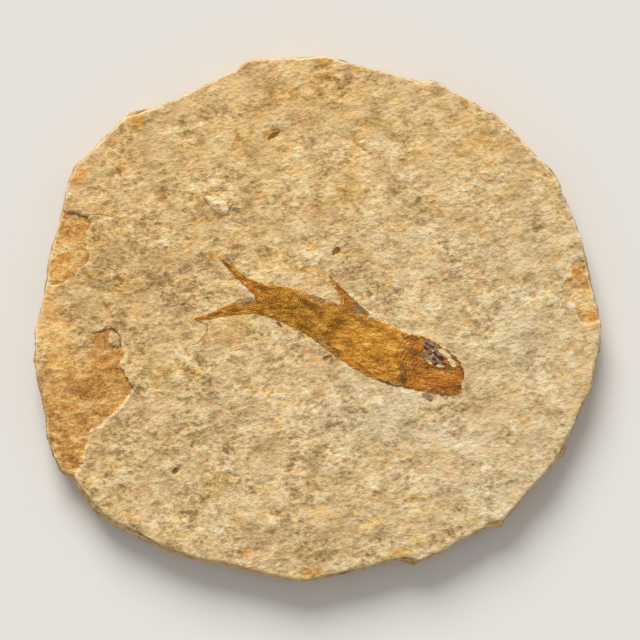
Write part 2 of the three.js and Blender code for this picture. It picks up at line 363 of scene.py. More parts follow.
# Some parts of the face are rougher than others: it is smoothest at the top and the lower right.
rough = 0.95 + 0.38 * map_waves(9, 40) + 0.25 * map_waves(4, 39)
rough *= 1 - 0.08 * ramp(map_x + 0.8 * map_y, 10, 60) - 0.15 * ramp(map_y, 25, 50)
rough *= 1 - 0.19 * ramp(map_x - map_y, 15, 70)
lumps = lumps * rough
crumbs = 0.034 * map_grain(0.62, 45, 20, 1.3) * rough
flake_relief = 0.05 * map_grain(3.8, 46, 14, 2.2) + 0.03 * map_grain(1.2, 47, 14, 1.8)
in_bed = ramp(in_flake, -0.1, 0.2)
relief = swell + lumps * (1 - 0.66 * in_bed) + crumbs * (1 - 0.25 * in_bed)
relief += flake_relief * in_bed + mark_relief
# The top bed lifts and crumbles a little along the flakes' borders.
lip = ramp(in_flake, -0.9, -0.1) * (1 - in_bed)
relief += 0.05 * lip * (1 + map_grain(1.4, 48))
# The stone is smoother and a little sunken round the fish.
relief *= 1 - 0.35 * ramp(near_fish, 0.05, 0.4)
# Small chips have gone from the rim.
chipped = ramp(limit - ragged_r, 1.2, -0.2) * ramp(map_waves(3.2, 56), 0.3, 0.9)
relief -= 0.32 * chipped
# Painted shade and highlight: the colour is made darker in the dips of this relief and paler on its
# lumps.
painted_relief_shading = relief - blur(relief, 1.1)

WALL = 0.12  # half the width of the step at a flake's border
# Painted shade: the foot of those walls that face the slab's lower edge, away from the light, is painted
# dark.
facing = np.gradient(in_flake, CELL)[0]
painted_wall_shade = ramp(-facing, 0.25, 0.75) * ramp(flake_depth, 0.1, 0.5)
painted_wall_shade = painted_wall_shade * ramp(in_flake, -0.05, 0.1) * ramp(in_flake, 0.42, 0.12) * (1 - 0.6 * block)
# In the largest flake, walls that face the upper edge, towards the light, are painted pale: partly clean,
# pale breaks, partly a painted highlight.
pale_break_highlight = ramp(facing, 0.15, 0.6) * ramp(flake_depth, 0.2, 0.6)
pale_break_highlight = pale_break_highlight * ramp(in_flake, -0.3, -0.05) * ramp(in_flake, 0.35, 0.12) * (1 - block)
pale_break_highlight = pale_break_highlight * ramp(map_y, 0, -8) * ramp(map_x, 0, -10)


def stone_top(x, y):
    """The height of the finished face."""
    fallen = ramp(read(in_flake, x, y), -WALL, WALL)
    return face + read(relief, x, y) - fallen * read(flake_depth, x, y)


FACE_STEP = 0.445
rng = np.random.default_rng(5)
rim_x, rim_y = np.cos(bearings) * face_reach, np.sin(bearings) * face_reach
rim_reach = face_reach + 0.09 * waves(1.7, 51, rim_x, rim_y) + 0.05 * waves(0.75, 52, rim_x, rim_y)
rim_height = stone_top(rim_x * 0.997, rim_y * 0.997)
rim_height -= 0.10 + 0.13 * ramp(waves(1.3, 53, rim_x, rim_y), -0.2, 0.9)

rings = []  # each an array of points, from the middle of the face out, down and in under the back
rings_in_face = int(face_reach.mean() / FACE_STEP)
for number in range(1, rings_in_face):
    share = number / rings_in_face
    count = max(6, round(BEARINGS * share))
    angle = (np.arange(count) + 0.5 * (number % 2)) * 2 * np.pi / count
    reach = share * round_rim(rim_reach, angle)
    x, y = reach * np.cos(angle), reach * np.sin(angle)
    loose = 0.2 * FACE_STEP * min(1, (rings_in_face - number) / 3)
    x, y = x + loose * rng.uniform(-1, 1, count), y + loose * rng.uniform(-1, 1, count)
    # Points close to a flake's border move onto its upper or lower edge.
    gap = read(in_flake, x, y)
    slope_x = (read(in_flake, x + CELL, y) - read(in_flake, x - CELL, y)) / (2 * CELL)
    slope_y = (read(in_flake, x, y + CELL) - read(in_flake, x, y - CELL)) / (2 * CELL)
    steep = np.maximum(slope_x**2 + slope_y**2, 0.3)
    near = np.abs(gap) < 0.55 * FACE_STEP
    shift = np.where(near, np.where(gap > 0, 1, -1) * WALL - gap, 0) / steep
    shift = np.clip(shift, -0.6 * FACE_STEP, 0.6 * FACE_STEP) * min(1, (rings_in_face - number) / 2)
    x, y = x + shift * slope_x, y + shift * slope_y
    rings.append(np.stack([x, y, stone_top(x, y)], 1))
rings.append(np.stack([np.cos(bearings) * rim_reach, np.sin(bearings) * rim_reach, rim_height], 1))
face_rings = len(rings)

# The side: beds of uneven thickness, each broken off a little further in or out than the next.
BED_JOINTS = (0.945, 0.865, 0.745, 0.66, 0.53, 0.43, 0.31, 0.215, 0.115)
BED_GAP = 0.07  # half the height of the step from one bed to the next
FOOT_LEVEL, FOOT_BITE = 0.25, 0.15
SIDE_COUNT = 900
side_angle = np.arange(SIDE_COUNT) * 2 * np.pi / SIDE_COUNT
side_top = round_rim(rim_height, side_angle)
known = [round_rim(reach, side_angle) for reach in (*side_reach, rim_reach)]
known_levels = np.array([*side_levels, 0])[:, None] + np.zeros(SIDE_COUNT)
known_levels[-1] = side_top


def side_at(level):
    """The side's plain reach at a height that may differ from bearing to bearing."""
    reach = known[0].copy()
    for k in range(len(known) - 1):
        span = np.maximum(known_levels[k + 1] - known_levels[k], 0.2)
        share = np.clip((level - known_levels[k]) / span, 0, 1)
        reach += share * (known[k + 1] - known[k])
    return reach


def side_ring(level, bed, bite=0.0):
    reach = side_at(level)
    x, y = reach * np.cos(side_angle), reach * np.sin(side_angle)
    reach = reach + 0.30 * waves(5.0, 60 + bed, x, y) + 0.11 * waves(1.5, 80 + bed, x, y, level) - 0.1
    reach += 0.10 * waves(3.0, 59, x, y, level * 0.5) + 0.06 * waves(0.7, 58, x, y, level * 1.5) - bite
    reach -= 0.7 * ramp(waves(3.0, 55, x, y, level * 1.3), 0.15, 1.0)  # small chips
    reach = np.minimum(reach, round_rim(side_reach[2], side_angle) + 0.08)
    return np.stack([reach * np.cos(side_angle), reach * np.sin(side_angle), level], 1)


fallen_by = np.maximum(face - side_top, 0)
for bed, joint in enumerate(BED_JOINTS):
    here = joint * face + 0.12 * waves(9, 57, np.cos(side_angle) * 60, np.sin(side_angle) * 60)
    here = here - fallen_by * np.clip((joint - 0.5) / 0.5, 0, 1)
    rings.append(side_ring(here + BED_GAP, bed))
    rings.append(side_ring(here - BED_GAP, bed + 1))
foot = side_ring(np.full(SIDE_COUNT, FOOT_LEVEL), len(BED_JOINTS), FOOT_BITE)
rings.append(foot)
side_rings = len(rings) - face_rings

# The back: the other split face, rougher, resting on its highest lumps.
BACK_STEP = 1.35
back_reach = np.minimum(side_reach[0], round_rim(np.hypot(foot[:, 0], foot[:, 1]), bearings) - 0.1) - 0.25
back_count = SIDE_COUNT
back_rings = int(back_reach.mean() / BACK_STEP)
back_start = len(rings)
for number in range(back_rings - 1, 0, -1):
    share = number / (back_rings - 1)
    wanted = max(6, round(2 * np.pi * back_reach.mean() * share / BACK_STEP))
    back_count = min(max(wanted, round(back_count * 0.72)), 3 * wanted)
    angle = (np.arange(back_count) + 0.5 * (number % 2)) * 2 * np.pi / back_count
    reach = share * round_rim(back_reach, angle)
    x, y = reach * np.cos(angle), reach * np.sin(angle)
    if share < 1:
        x = x + 0.2 * BACK_STEP * rng.uniform(-1, 1, back_count)
        y = y + 0.2 * BACK_STEP * rng.uniform(-1, 1, back_count)
    rise = 0.16 * grain(9, 91, x, y, -20) + 0.09 * grain(3.4, 92, x, y, -20) + 0.05 * waves(1.6, 93, x, y)
    rings.append(np.stack([x, y, rise], 1))
back_low = min(ring[:, 2].min() for ring in rings[back_start:])
for ring in rings[back_start:]:
    ring[:, 2] -= back_low

counts = [len(ring) for ring in rings]
starts = np.concatenate([[0], np.cumsum(counts)]) + 1


def stitch(outer, inner):
    """Triangles between two neighbouring rings that may have different numbers of points."""
    a, b = counts[outer], counts[inner]
    first, second = np.arange(a), np.arange(b)
    ends_a, ends_b = (first + 1) / a, (second + 1) / b
    tip_a = np.searchsorted(ends_b, ends_a, side="left")
    tip_b = np.searchsorted(ends_a, ends_b, side="right") % a
    from_a = np.stack([first, (first + 1) % a], 1) + starts[outer]
    from_b = np.stack([second, (second + 1) % b], 1) + starts[inner]
    return np.concatenate([
        np.stack([from_a[:, 0], from_a[:, 1], tip_a + starts[inner]], 1),
        np.stack([from_b[:, 0], tip_b + starts[outer], from_b[:, 1]], 1),
    ])


def fan(ring, hub, outward):
    """Triangles from a hub to the smallest ring, at the middle of the face or of the back."""
    here = np.arange(counts[ring])
    after = (here + 1) % counts[ring]
    pair = (here, after) if outward else (after, here)
    return np.stack([np.full(len(here), hub), pair[0] + starts[ring], pair[1] + starts[ring]], 1)


MIDDLE_OF_BACK = 0.3  # how high the middle of the back stands
hub_bottom = starts[-1]
hubs = np.array([[0, 0, stone_top(np.zeros(1), np.zeros(1))[0]], [0, 0, MIDDLE_OF_BACK]])
points = np.concatenate([hubs[:1], *rings, hubs[1:]])
joined = [stitch(k + 1, k) for k in range(len(rings) - 1)]
face_faces = np.concatenate([fan(0, 0, True), *joined[: face_rings - 1]])
side_faces = np.concatenate(joined[face_rings - 1 : face_rings - 1 + side_rings])
last_fan = fan(len(rings) - 1, hub_bottom, False)
back_faces = np.concatenate([*joined[face_rings - 1 + side_rings :], last_fan])
triangles = np.concatenate([face_faces, side_faces, back_faces])


def mesh_object(name, points, triangles):
    """A smooth-shaded mesh object from points in millimetres."""
    mesh = bpy.data.meshes.new(name)
    mesh.from_pydata((points * MM).tolist(), [], triangles.tolist())
    mesh.polygons.foreach_set("use_smooth", np.ones(len(triangles), bool))
    mesh.update()
    made = bpy.data.objects.new(name, mesh)
    bpy.context.scene.collection.objects.link(made)
    return made


def store(made, name, values):
    """A value on each point of the mesh, which the material reads by name."""
    layer = made.data.attributes.new(name, "FLOAT", "POINT")
    layer.data.foreach_set("value", np.asarray(values, np.float32))


def store_four(made, name, values):
    """Four values on each point, as the parts of a colour."""
    layer = made.data.attributes.new(name, "FLOAT_COLOR", "POINT")
    layer.data.foreach_set("color", np.stack(values, 1).astype(np.float32).ravel())


stone = mesh_object("stone", points, triangles)
point_x, point_y, point_z = points.T
on_face = np.arange(len(points)) < starts[face_rings]
on_back = np.arange(len(points)) >= starts[face_rings + side_rings]
point_angle = np.arctan2(point_y, point_x) % (2 * np.pi)
from_rim = round_rim(rim_reach, point_angle) - np.hypot(point_x, point_y)
from_rim = np.where(on_face, np.maximum(from_rim, 0), 0)


def on_the_face(field, elsewhere=0):
    """A map's values at the points of the face, and one value at all others."""
    return np.where(on_face, read(field, point_x, point_y), elsewhere)


stored = {
    "near_fish": near_fish,
    "painted_relief_shading": painted_relief_shading,
    "flake_depth": flake_depth * ramp(flake_share, 0.02, 0.3),
    "painted_wall_shade": painted_wall_shade,
    "pale_break_highlight": pale_break_highlight,
    "wash_light": wash_light,
    "wash_warm": wash_warm,
    "crack_strength": crack_strength,
}
for name, field in stored.items():
    store(stone, name, on_the_face(field))
store(stone, "in_flake", on_the_face(in_flake, -2))
store(stone, "rough", on_the_face(rough, 1))
store(stone, "crack_gap", on_the_face(crack_gap, FAR))
store(stone, "from_rim", from_rim)
store(stone, "side", np.where(on_face | on_back, 0, 1))
store(stone, "back", np.where(on_back, 1, 0))
store_four(stone, "marks", [on_the_face(cover) for cover in marks.values()])

# The skin laid flat: the face large, the side as three strips, the back small.
FACE_SHARE, BACK_SHARE = 0.68, 0.27
STRIPS, FIRST_STRIP, STRIP_PITCH = 3, 0.68, 0.08
GUTTER = 0.01
flat = np.zeros((len(triangles), 3, 2))
corner_x, corner_y = point_x[triangles], point_y[triangles]
flat_face = slice(0, len(face_faces))
flat_side = slice(len(face_faces), len(face_faces) + len(side_faces))
flat_back = slice(len(face_faces) + len(side_faces), len(triangles))
for part, share, left in ((flat_face, FACE_SHARE, GUTTER), (flat_back, -BACK_SHARE, 1 - GUTTER)):
    flat[part, :, 0] = left + (corner_x[part] + width / 2 + 0.5) / (width + 1) * share
    flat[part, :, 1] = GUTTER + (corner_y[part] + depth / 2 + 0.5) / (width + 1) * abs(share)
turn = point_angle[triangles[flat_side]] / (2 * np.pi)
turn = turn - np.round(turn - turn[:, :1])
strip = np.clip(np.floor(turn[:, :1] * STRIPS), 0, STRIPS - 1)
side_height = point_z[triangles[flat_side]] / width
flat[flat_side, :, 0] = 2 * GUTTER + (turn * STRIPS - strip) * FACE_SHARE
flat[flat_side, :, 1] = FIRST_STRIP + strip * STRIP_PITCH + side_height * FACE_SHARE
layer = stone.data.uv_layers.new(name="OFBake")
layer.data.foreach_set("uv", flat.astype(np.float32).ravel())


class Wire:
    """A socket's output on its way through a material. Sums of wires add the Math nodes."""

    def __init__(self, socket):
        self.socket = socket

    def add(self, kind, settings=None, out=0, **values):
        """Any node: its settings are set first, then its sockets get values or links."""
        tree = self.socket.id_data
        node = tree.nodes.new(kind)
        for key, value in (settings or {}).items():
            setattr(node, key, value)
        for key, value in values.items():
            name = key.replace("_", " ")
            socket = next((s for s in node.inputs if s.identifier == key), None) or node.inputs[name]
            if isinstance(value, Wire):
                tree.links.new(value.socket, socket)
            else:
                socket.default_value = value
        return Wire(node.outputs[out])

    def maths(self, operation, a, b=0.0):
        return self.add("ShaderNodeMath", {"operation": operation}, Value=a, Value_001=b)

    def __add__(self, other):
        return self.maths("ADD", self, other)

    def __sub__(self, other):
        return self.maths("SUBTRACT", self, other)

    def __rsub__(self, other):
        return self.maths("SUBTRACT", other, self)

    def __mul__(self, other):
        return self.maths("MULTIPLY", self, other)

    __radd__, __rmul__ = __add__, __mul__

    def size(self):
        return self.maths("ABSOLUTE", self)

    def most(self, other):
        return self.maths("MAXIMUM", self, other)

    def swing(self, by):
        """This noise brought to lie evenly about 0, and this much from end to end."""
        return (self - 0.5) * by

    def between(self, start, end):
        """From 0 at start to 1 at end, easing in and out."""
        return self.add(
            "ShaderNodeMapRange",
            {"interpolation_type": "SMOOTHSTEP"},
            Value=self, From_Min=start, From_Max=end,
        )

    def stored(self, name, out="Fac"):
        """A value that the mesh keeps at each of its points."""
        return self.add("ShaderNodeAttribute", {"attribute_name": name}, out=out)

    def beside(self, out):
        """Another output of the same node."""
        return Wire(self.socket.node.outputs[out])

    def shaded(self, stops):
        """A colour for each value, between the paints at these stops."""
        colour = self.add("ShaderNodeValToRGB", Fac=self)
        steps = colour.socket.node.color_ramp.elements
        while len(steps) < len(stops):
            steps.new(0.5)
        for step, (position, code) in zip(steps, stops):
            step.position, step.color = position, paint(code)
        return colour

    def stretched(self, turn, stretch, shift=0.0):
        """A place, turned and squeezed so that a pattern on it draws out along a direction."""
        return self.add(
            "ShaderNodeMapping",
            Vector=self,
            Rotation=(0, 0, -math.radians(turn)),
            Scale=(1 / stretch, 1, 1),
            Location=(shift, shift, shift),
        )

    def wobbled(self, size, by):
        """A place pushed about by noise, so that a pattern on it is uneven; both in millimetres."""
        push = self.add("ShaderNodeTexNoise", out=1, Vector=self, Scale=1 / (size * MM), Detail=1.0)
        push = self.add("ShaderNodeVectorMath", {"operation": "SCALE"}, Vector=push, Scale=2 * by * MM)
        return self.add("ShaderNodeVectorMath", {"operation": "ADD"}, Vector=self, Vector_001=push)

    def cells(self, size):
        """The distance to the middle of a cell, 0 there and about 0.7 at its corners."""
        return self.add("ShaderNodeTexVoronoi", Vector=self, Scale=1 / (size * MM))

    def noise(self, size, detail=2.0, roughness=0.5, distortion=0.0):
        """Soft noise from 0 to 1 on this place; size is in millimetres."""
        return self.add(
            "ShaderNodeTexNoise",
            Vector=self, Scale=1 / (size * MM), Detail=detail, Roughness=roughness, Distortion=distortion,
        )

    def mixed(self, other, share, kind="MIX"):
        """This colour with some of another."""
        return self.add(
            "ShaderNodeMix",
            {"data_type": "RGBA", "blend_type": kind},
            out=2, Factor_Float=share, A_Color=self, B_Color=other,
        )

    def tinted(self, tint, share):
        """This colour seen through a clear stain."""
        return self.mixed((*tint, 1), share, "MULTIPLY")


def paint(code):
    """A colour written as on a paint card, for a shader."""
    parts = [int(code[k : k + 2], 16) / 255 for k in (1, 3, 5)]
    return (*[p / 12.92 if p < 0.04045 else ((p + 0.055) / 1.055) ** 2.4 for p in parts], 1)


def new_material(name):
    """An empty material, its shader and the place on the piece, as a wire."""
    material = bpy.data.materials.new(name)
    material.use_nodes = True
    tree = material.node_tree
    shader = tree.nodes["Principled BSDF"]
    place = Wire(tree.nodes.new("ShaderNodeTexCoord").outputs["Object"])
    return material, shader, place


def finish(shader, colour, roughness, height, bump_depth):
    """Links a colour, a roughness and a height, in metres, to the shader."""
    tree = shader.id_data
    tree.links.new(colour.socket, shader.inputs["Base Color"])
    tree.links.new(roughness.socket, shader.inputs["Roughness"])
    bump = height.add("ShaderNodeBump", Height=height, Distance=bump_depth)
    tree.links.new(bump.socket, shader.inputs["Normal"])


limestone, shader, place = new_material("limestone")
shader.inputs["Specular IOR Level"].default_value = 0.25
drawn = place.stretched(25, 1.4)
fine = place.stretched(20, 1.25, 0.2)
broad = drawn.noise(10.0, 2.0)
patch = drawn.noise(4.6, 2.0, 0.5)
lump = drawn.noise(2.0, 2.0, 0.55)
crumb = fine.noise(1.0, 1.5, 0.55)
grit = fine.noise(0.45, 1.5, 0.6)
painted_relief_shading = place.stored("painted_relief_shading")
rough = place.stored("rough")
# Crumbs stand apart like grains of coarse sand, with seams between them that are sunk in the bump and
# painted dark as painted shade.
crease_shade_and_depth = fine.wobbled(0.7, 0.35).cells(0.8)
# Painted shade in the relief's dips and painted highlight on its lumps.
grains = lump.swing(1.08) + crumb.swing(0.8) + grit.swing(0.65) + (0.42 - crease_shade_and_depth) * 0.16 + painted_relief_shading * 0.8
lightness = 0.508 + broad.swing(0.4) + patch.swing(0.65) + grains * rough
lightness = lightness + place.stored("wash_light") * 0.55 + place.stored("near_fish") * 0.11
to_right = place.add("ShaderNodeSeparateXYZ", Vector=place)
to_top = to_right.beside(1)
# Painted light: the face is painted paler towards its top, as if lit more strongly there.
lightness = lightness + to_top * 0.35
STONE_SHADES = (
    (0.05, "#8a6f46"), (0.27, "#b09265"), (0.42, "#c6a876"),
    (0.56, "#d6b988"), (0.75, "#e2ca9c"), (0.97, "#ecdcb7"),
)
colour = lightness.shaded(STONE_SHADES)
# Iron has tinted the stone unevenly, from orange through olive to a greyish lilac.
hue = place.stretched(15, 1.3, 0.4).noise(3.8, 3.0, 0.6, 0.2)
other_hue = place.stretched(35, 1.2, 0.7).noise(2.5, 3.0, 0.6, 0.2)
GOLD_TINT, OLIVE_TINT = (1.04, 0.94, 0.72), (0.94, 0.96, 0.88)
LILAC_TINT, PINK_TINT = (0.95, 0.915, 0.96), (1.04, 0.93, 0.84)
warm = place.stored("wash_warm")
colour = colour.tinted(GOLD_TINT, (hue + warm * 0.07).between(0.52, 0.68))
colour = colour.tinted(LILAC_TINT, (hue + warm * 0.07).between(0.47, 0.34))
colour = colour.tinted(OLIVE_TINT, other_hue.between(0.52, 0.66))
colour = colour.tinted(PINK_TINT, other_hue.between(0.47, 0.36) * 0.85)
colour = colour.tinted((1.03, 0.93, 0.73), warm.between(0.0, 1.3))
colour = colour.tinted((0.96, 1.01, 1.09), warm.between(0.0, -0.8))
# The upper left of the face is more golden, the lower right greyer and paler: partly the stone's own
# colour, partly painted light, the warm cast and fall of the lamp.
lean = (to_right - to_top) * (1 / (width * MM))
colour = colour.tinted((1.01, 0.955, 0.88), lean.between(0.15, -0.8))
colour = colour.tinted((1.0, 1.055, 1.165), lean.between(-0.35, 0.6))

# Where the top bed has flaked off, the bed below is stained with iron.
flake_gap = place.stored("in_flake")
flake_wear = place.stored("flake_depth").between(0.0, 0.42)
streaks = place.stretched(14, 2.0, 0.1).noise(1.8, 4.0, 0.6, 0.2)
# The bed too gets painted shade in the relief's dips and painted highlight on its lumps.
bed_light = (
    0.497
    + patch.swing(0.9)
    + streaks.swing(0.95)
    + lump.swing(0.6)
    + crumb.swing(0.6)
    + grit.swing(0.9)
    + painted_relief_shading * 1.1
    + place.stored("wash_light") * 0.6
)
BED_SHADES = (
    (0.05, "#855a26"), (0.28, "#a87537"), (0.47, "#c18e4a"),
    (0.62, "#d1a45f"), (0.80, "#debc80"), (0.97, "#ead4a6"),
)
bed = bed_light.shaded(BED_SHADES)
bed = bed.tinted((0.96, 0.97, 1.08), other_hue.between(0.50, 0.38))
bed = bed.tinted((1.03, 0.94, 0.76), hue.between(0.50, 0.62))
bed_share = flake_gap.between(-0.08, 0.12) * flake_wear + patch.swing(0.3) * flake_wear
colour = colour.mixed(bed, bed_share * 0.95)
PALE = paint("#f2e4be")
lip = flake_gap.between(-0.42, -0.1) * flake_gap.between(0.05, -0.06) * flake_wear
colour = colour.mixed(PALE, lip * crumb.between(0.36, 0.56) * 0.4)
# Pale breaks with a painted highlight, on the walls that face the light.
colour = colour.mixed(PALE, place.stored("pale_break_highlight") * crumb.between(0.25, 0.45) * 0.85)
# Painted shade on the flake walls that face away from the light.
colour = colour.mixed(paint("#634420"), place.stored("painted_wall_shade") * 0.9)

# Stains, pits and cracks.
rust = place.add("ShaderNodeSeparateColor", Color=place.stored("marks", "Color"))
dark, pale, lilac = rust.beside(1), rust.beside(2), place.stored("marks", "Alpha")
fray = grit.swing(0.9) + crumb.swing(0.7)
colour = colour.mixed(paint("#846c56"), (lilac + fray).between(0.35, 0.8) * 0.85)
colour = colour.tinted((1.0, 0.76, 0.42), (rust + fray).between(0.2, 0.8) * 0.88)
colour = colour.mixed(PALE, (pale + fray).between(0.4, 0.75) * 0.52)
colour = colour.mixed(paint("#6c4510"), (dark + fray).between(0.4, 0.8) * 0.86)
# Painted shade in the cracks: a dark line along each, which also sinks a shallow groove in the bump.
crack_shade_and_groove = place.stored("crack_gap").size().between(0.11, 0.03)
crack_shade_and_groove = crack_shade_and_groove * place.stored("crack_strength").between(0.1, 0.8)
colour = colour.mixed(paint("#6a4a26"), crack_shade_and_groove * 0.8)

# The side shows the beds edge on; the rim, freshly broken, is bruised almost white and painted paler
# still, a painted highlight along its edge.
side = place.stored("side")
back = place.stored("back")
edge_on = place.add("ShaderNodeMapping", Vector=place, Scale=(0.09, 0.09, 1.6))
beds = 0.5 + edge_on.noise(0.9, 4.0, 0.65).swing(1.9) + crumb.swing(0.9) + grit.swing(0.8)
# The side is painted darker and browner than the face: partly its iron stain, partly painted shade.
side_colour = (beds - 0.06).shaded(STONE_SHADES).tinted((0.96, 0.90, 0.80), 1.0)
rusty_beds = edge_on.noise(1.9, 3.0).between(0.54, 0.68)
side_colour = side_colour.tinted((1.02, 0.78, 0.48), rusty_beds * 0.8)
dark_seams = edge_on.noise(0.5, 2.0).between(0.36, 0.28)
side_colour = side_colour.mixed(paint("#75532c"), dark_seams * 0.5)
colour = colour.mixed(side_colour, side.between(0.3, 0.9))
# The pale rim: bruised stone and a painted highlight.
bruise_and_highlight = place.stored("from_rim").between(0.45, 0.05) * (1 - side) * (1 - back)
bruise_and_highlight = bruise_and_highlight * (0.45 + patch.between(0.4, 0.6) * 0.55)
colour = colour.mixed(PALE, bruise_and_highlight * 0.6)

# The back carries broad rust stains.
back_stain = place.noise(16, 4.0, 0.6).between(0.45, 0.62) * back
colour = colour.tinted((1.02, 0.82, 0.56), back_stain * 0.75)

BUMP_DEPTH = 0.6 * MM
height = lump.swing(0.9) + crumb.swing(0.6) + grit.swing(0.28) - crease_shade_and_depth * 0.12
finish(shader, colour, 0.86 + crumb.swing(0.2), height - crack_shade_and_groove * 0.3, BUMP_DEPTH)
stone.data.materials.append(limestone)
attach(stone, "root")
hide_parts("slab")


# ---- The fish ----
# A small herring-like fish pressed flat between two beds: what is left is a thin brown mineral film
# over its bones and scales, a little proud of the stone, and worn through at places.
# It is a sheet of even triangles that reaches a little past the fish's outline.
FISH_STEP = 0.19
PAST_OUTLINE = 0.42
rows = np.arange(low[1] * 0.4, high[1] * 0.32, FISH_STEP * math.sqrt(3) / 2)
columns = np.arange(low[0] * 0.5, high[0] * 0.58, FISH_STEP)
grid_x, grid_y = np.meshgrid(columns, rows)
grid_x = grid_x + 0.5 * FISH_STEP * (np.arange(len(rows)) % 2)[:, None]
wanted = read(in_fish, grid_x, grid_y) > -PAST_OUTLINE
number = np.where(wanted, np.cumsum(wanted).reshape(wanted.shape) - 1, -1)
fish_triangles = []
for row in range(len(rows) - 1):
    a, b = number[row, :-1], number[row, 1:]
    c, d = number[row + 1, :-1], number[row + 1, 1:]
    for corners in ((a, b, c), (b, d, c)) if row % 2 == 0 else ((a, b, d), (a, d, c)):
        triples = np.stack(corners, 1)
        fish_triangles.append(triples[triples.min(1) >= 0])
fish_triangles = np.concatenate(fish_triangles)
used = np.unique(fish_triangles)
renumber = np.full(wanted.sum(), -1)
renumber[used] = np.arange(len(used))
fish_triangles = renumber[fish_triangles]
fish_x, fish_y = grid_x[wanted][used], grid_y[wanted][used]
fish_x = fish_x + 0.15 * FISH_STEP * rng.uniform(-1, 1, len(fish_x))
fish_y = fish_y + 0.15 * FISH_STEP * rng.uniform(-1, 1, len(fish_y))


def fish_waves(cell, seed):
    return waves(cell, seed, fish_x, fish_y)


# Its own directions: how far a place is from the root of the tail towards the nose, and how far
# above the backbone.
SPINE = [
    (-16, 4.5), (-12.5, 3.9), (-8, 2.7), (-2, 0.5), (3, -2.2), (8.6, -5.5), (17.4, -9.2),
    (24.4, -11.4), (29.5, -13.0), (33, -14.0), (36.2, -15.0),
]
above_spine, from_tail = by_line(SPINE, fish_x, fish_y)
HEAD_STARTS = 40.0
head = ramp(from_tail + 0.8 * fish_waves(2.0, 111), HEAD_STARTS - 1.5, HEAD_STARTS + 2.0)


def stripes(value, spacing):
    """Fine even ridges, from -1 to 1."""
    return np.sin(value * 2 * np.pi / spacing)


# Scales, in two sets of slanting rows that cross; they show best towards the tail.
uneven = 0.25 * fish_waves(1.6, 112)
rows_up = stripes(from_tail * 0.8 + above_spine * 0.75 + uneven, 0.66)
rows_down = stripes(from_tail * 0.8 - above_spine * 0.75 + uneven, 0.66)
scale_share = ramp(from_tail, 33, 16) * (0.55 + 0.45 * fish_waves(3.0, 113))
lines = 0.75 * rows_up * rows_down * np.clip(scale_share, 0, 1) * (1 - head)
# Muscle bands and ribs leave faint streaks along the body.
lines += 0.55 * waves(0.38, 114, from_tail / 4.5, above_spine) * (1 - head)
# The gill cover: curved ridges, one behind the other.
GILL = (27.6, -12.2)
gill_r = np.hypot(fish_x - GILL[0], fish_y - GILL[1]) + 0.3 * fish_waves(1.8, 115)
gill_turn = np.degrees(np.arctan2(fish_y - GILL[1], fish_x - GILL[0])) % 360
gill = ramp(gill_r, 4.4, 5.2) * ramp(gill_r, 9.3, 8.2)
gill = gill * ramp(gill_turn, 92, 115) * ramp(gill_turn, 232, 190)
lines = lines * (1 - 0.7 * gill) + 0.7 * gill * stripes(gill_r, 0.74)
# Bones of the cheek and the jaws run forward to the mouth.
cheek = ramp(fish_x, 24.5, 26.5) * ramp(fish_y, -11.2, -12.4)
forward = fish_y + 0.05 * (fish_x - 30)
lines = lines * (1 - 0.6 * cheek) + 0.9 * cheek * waves(0.36, 116, fish_x / 4.5, forward)
# Rays of the fin and of the two lobes of the tail: root, tip, and their spacing at the root.
blades = np.zeros_like(fish_x)
RAYS = [
    ((11.4, 1.2), (3.0, 10.2), 0.56),
    ((-13.0, 6.4), (-24.0, 14.1), 0.50),
    ((-14.6, 2.4), (-29.5, -0.3), 0.52),
]
for root, tip, spacing in RAYS:
    length = math.dist(root, tip)
    across_ray, along_ray = by_line([root, tip], fish_x, fish_y)
    on_blade = ramp(along_ray, 0.3, 2.0)
    spread = spacing * (1 - 0.55 * along_ray / length)
    lines = lines * (1 - on_blade) + 1.5 * on_blade * stripes(across_ray, spread)
    blades = np.maximum(blades, on_blade)

